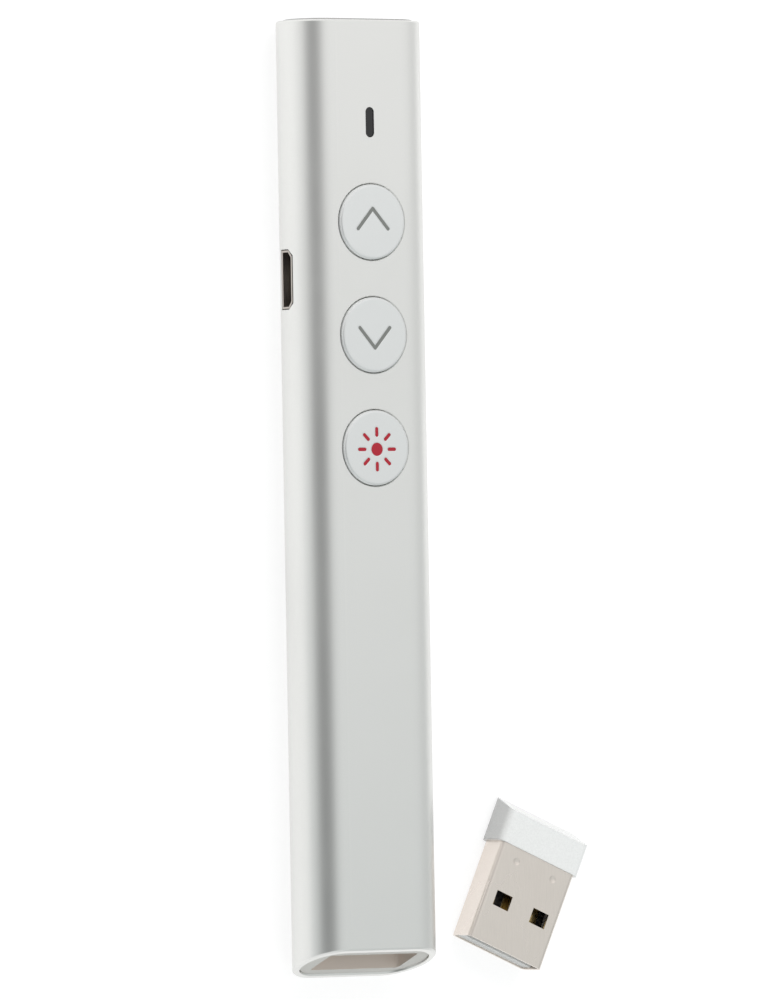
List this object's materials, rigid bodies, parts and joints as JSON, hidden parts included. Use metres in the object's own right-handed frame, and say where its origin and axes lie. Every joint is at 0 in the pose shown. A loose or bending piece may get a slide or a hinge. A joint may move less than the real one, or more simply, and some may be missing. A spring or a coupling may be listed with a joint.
{
  "type": "wireless presentation clicker",
  "caption": "Slim oval aluminium presentation clicker with round press buttons, a laser nose, a charging socket and a slanted tail bay for its plug-in receiver.",
  "frame": {"origin": "middle of the flat back face, half way along the body, where it rests on the desk", "axes": "+Y out of the laser end along the body, +Z out of the button face, -X the charging socket's side"},
  "size_m": [0.0454, 0.1231, 0.0104],
  "materials": {
    "anodised_shell": "satin bead-blasted silver anodising",
    "nose_black": "glossy black",
    "window_clear": "clear polished",
    "barrel_brass": "turned",
    "lens_clear": "clear moulded",
    "diode_gold": "gold plated",
    "board_green": "solder mask",
    "wire_red": "insulation",
    "wire_black": "insulation",
    "chassis_black": "moulded",
    "strip_grey": "moulded",
    "screw_zinc": "zinc plated",
    "cap_silver": "satin silver",
    "symbol_grey": "filled print",
    "symbol_red": "filled print",
    "contact_gold": "plated",
    "lens_smoke": "smoked",
    "lamp_white": "resin",
    "socket_steel": "tin plated",
    "chip_black": "moulded package",
    "passive_tan": "ceramic",
    "battery_foil": "foil pouch",
    "insert_grey": "moulded grey",
    "plug_steel": "satin nickel plate",
    "spring_steel": "plated lid",
    "insulator_white": "moulded",
    "board_black": "black solder mask",
    "head_white": "moulded white"
  },
  "bodies": {
    "housing": {"battery_cell": "battery_foil", "battery_lead_black": "wire_black", "battery_lead_red": "wire_red", "bay_magnet": "spring_steel", "board_antenna": "contact_gold", "board_passives": "passive_tan", "board_screws": "screw_zinc", "body_tube": "anodised_shell", "charge_socket_contacts": "contact_gold", "charge_socket_shell": "socket_steel", "charge_socket_tongue": "chassis_black", "charger_chip": "chip_black", "chassis": "chassis_black", "indicator_lamp": "lamp_white", "indicator_lens": "lens_smoke", "laser_barrel": "barrel_brass", "laser_diode": "diode_gold", "laser_driver_board": "board_green", "laser_lead_black": "wire_black", "laser_lead_red": "wire_red", "laser_lens": "lens_clear", "laser_lens_ring": "barrel_brass", "laser_spacer": "barrel_brass", "laser_window": "window_clear", "lift_strip": "strip_grey", "main_board": "board_green", "nose_plate": "nose_black", "radio_chip": "chip_black", "radio_crystal": "spring_steel", "switch_base_down": "chassis_black", "switch_base_laser": "chassis_black", "switch_base_up": "chassis_black", "switch_cover_down": "socket_steel", "switch_cover_laser": "socket_steel", "switch_cover_up": "socket_steel", "switch_dome_down": "spring_steel", "switch_dome_laser": "spring_steel", "switch_dome_up": "spring_steel", "switch_terminals": "contact_gold", "tail_insert": "insert_grey", "tail_screws": "screw_zinc"},
    "up_key": {"button_up": "cap_silver", "up_chevron": "symbol_grey", "switch_plunger_up": "insulator_white"},
    "down_key": {"button_down": "cap_silver", "down_chevron": "symbol_grey", "switch_plunger_down": "insulator_white"},
    "laser_key": {"button_laser": "cap_silver", "laser_symbol": "symbol_red", "switch_plunger_laser": "insulator_white"},
    "receiver": {"receiver_shell": "plug_steel", "receiver_insulator": "insulator_white", "receiver_contacts": "contact_gold", "receiver_board": "board_black", "receiver_chip": "chip_black", "receiver_head": "head_white"}
  },
  "joints": [
    {"name": "up_press", "type": "slide", "parent": "housing", "child": "up_key", "axis": [0, 0, -1], "range_m": [0, 0.00025], "stiffness_N_per_m": 600, "springref_m": -0.0005, "deforming": ["switch_dome_up"]},
    {"name": "down_press", "type": "slide", "parent": "housing", "child": "down_key", "axis": [0, 0, -1], "range_m": [0, 0.00025], "stiffness_N_per_m": 600, "springref_m": -0.0005, "deforming": ["switch_dome_down"]},
    {"name": "laser_press", "type": "slide", "parent": "housing", "child": "laser_key", "axis": [0, 0, -1], "range_m": [0, 0.00025], "stiffness_N_per_m": 600, "springref_m": -0.0005, "deforming": ["switch_dome_laser"]},
    {"name": "receiver_lift", "type": "slide", "parent": "housing", "child": "receiver", "axis": [0, 0, 1], "range_m": [0, 0.04]}
  ]
}
